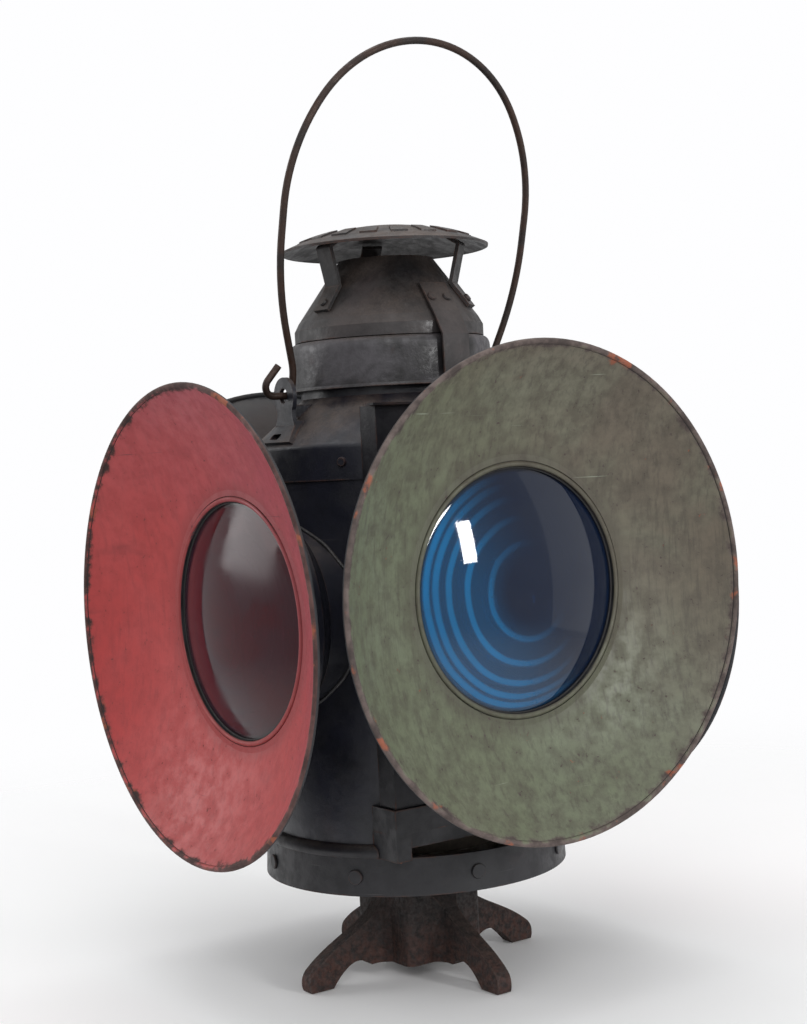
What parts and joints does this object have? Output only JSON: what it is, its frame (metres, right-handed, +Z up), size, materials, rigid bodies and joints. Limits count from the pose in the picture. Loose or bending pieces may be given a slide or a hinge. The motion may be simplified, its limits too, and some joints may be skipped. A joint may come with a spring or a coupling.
{
  "type": "railway switch lamp",
  "caption": "Oil-burning railway switch lamp on a footed socket base, with a lens in a dished day disc on each side, a sliding door and a carrying bail.",
  "frame": {"origin": "on the lamp's vertical axis at the height of the soles of the feet", "axes": "+Z up along the lamp's axis; the sliding door and its lens face -Y, the red lenses face -X and +X, the second green lens faces +Y"},
  "size_m": [0.275, 0.275, 0.5113],
  "materials": {
    "blackened_sheet": "worn satin black paint over sheet steel, dusty on upward faces, rusty along the edges",
    "sooty_sheet": "heat-browned black paint over sheet steel with a soft sheen",
    "black_casting": "rough sand casting, black with rust on the feet",
    "dark_bolts": "oxidised steel",
    "red_enamel": "satin vitreous enamel, scuffed, chipped at the rim",
    "green_enamel": "faded grey-green enamel with brown mottling and scratches",
    "blue_green_glass": "polished pressed glass, smooth outside and stepped inside",
    "red_glass": "polished pressed glass, dusty, stepped inside",
    "rusted_wire": "brown rusted steel wire",
    "tinned_sheet": "dull tinned sheet",
    "burner_brass": "sooty tarnished brass",
    "wick_cotton": "woven flat cotton, charred at the top",
    "clear_glass": "clear lamp glass with a trace of soot"
  },
  "bodies": {
    "lamp_body": {"base_casting": "black_casting", "base_bolts": "dark_bolts", "base_nuts": "dark_bolts", "bottom_plate": "blackened_sheet", "skirt_band": "blackened_sheet", "skirt_rivets": "blackened_sheet", "body_shell": "blackened_sheet", "front_header": "blackened_sheet", "dome_shell": "blackened_sheet", "dome_rivets": "blackened_sheet", "guard_spacers": "sooty_sheet", "wind_guard": "sooty_sheet", "draught_baffle": "sooty_sheet", "vent_cone": "sooty_sheet", "smoke_cap": "sooty_sheet", "cap_leg_a": "sooty_sheet", "cap_leg_b": "sooty_sheet", "cap_leg_c": "sooty_sheet", "leg_rivets": "sooty_sheet", "left_lens_hood": "blackened_sheet", "left_lens": "red_glass", "left_lens_ring": "blackened_sheet", "left_day_disc": "red_enamel", "rear_lens_hood": "blackened_sheet", "rear_lens": "blue_green_glass", "rear_lens_ring": "blackened_sheet", "rear_day_disc": "green_enamel", "right_lens_hood": "blackened_sheet", "right_lens": "red_glass", "right_lens_ring": "blackened_sheet", "right_day_disc": "red_enamel", "door_guide_left": "blackened_sheet", "door_guide_right": "blackened_sheet", "door_band": "blackened_sheet", "sill_blocks": "blackened_sheet", "ear_left": "blackened_sheet", "ear_right": "blackened_sheet", "brace_left": "blackened_sheet", "brace_right": "blackened_sheet", "fount_seat": "tinned_sheet", "fount": "tinned_sheet", "burner_collar": "burner_brass", "burner": "burner_brass", "chimney": "clear_glass"},
    "door": {"door_pan": "blackened_sheet", "door_lens_hood": "blackened_sheet", "door_lens": "blue_green_glass", "door_lens_ring": "blackened_sheet", "door_day_disc": "green_enamel"},
    "bail": {"bail": "rusted_wire"},
    "door_catch": {"catch_spring": "sooty_sheet", "catch_rivets": "sooty_sheet"},
    "wick_shaft": {"wick_shaft": "burner_brass"},
    "wick": {"wick": "wick_cotton"},
    "filler_cap": {"filler_cap": "burner_brass"}
  },
  "joints": [
    {"name": "bail_swing", "type": "hinge", "parent": "lamp_body", "child": "bail", "pos_m": [0, 0, 0.3239], "axis": [-1, 0, 0], "range_deg": [-70, 105]},
    {"name": "door_slide", "type": "slide", "parent": "lamp_body", "child": "door", "axis": [0, 0, 1], "range_m": [-0.006, 0.13]},
    {"name": "door_catch", "type": "hinge", "parent": "lamp_body", "child": "door_catch", "pos_m": [0.002, -0.04507, 0.372], "axis": [1, 0, 0], "range_deg": [-0.3, 0.6], "stiffness_Nm_per_rad": 3},
    {"name": "wick_turn", "type": "hinge", "parent": "lamp_body", "child": "wick_shaft", "pos_m": [0, -0.0048, 0.1548], "axis": [1, 0, 0], "range_deg": [-50, 100]},
    {"name": "wick_lift", "type": "slide", "parent": "lamp_body", "child": "wick", "axis": [0, 0, 1], "range_m": [-0.0031, 0.0062]},
    {"name": "filler_cap_turn", "type": "hinge", "parent": "lamp_body", "child": "filler_cap", "pos_m": [0.034, 0, 0.1378], "axis": [0, 0, 1], "range_deg": [0, 90]}
  ],
  "couplings": [
    {"joint": "wick_lift", "follows": "wick_turn", "m_per_rad": 0.0034}
  ]
}
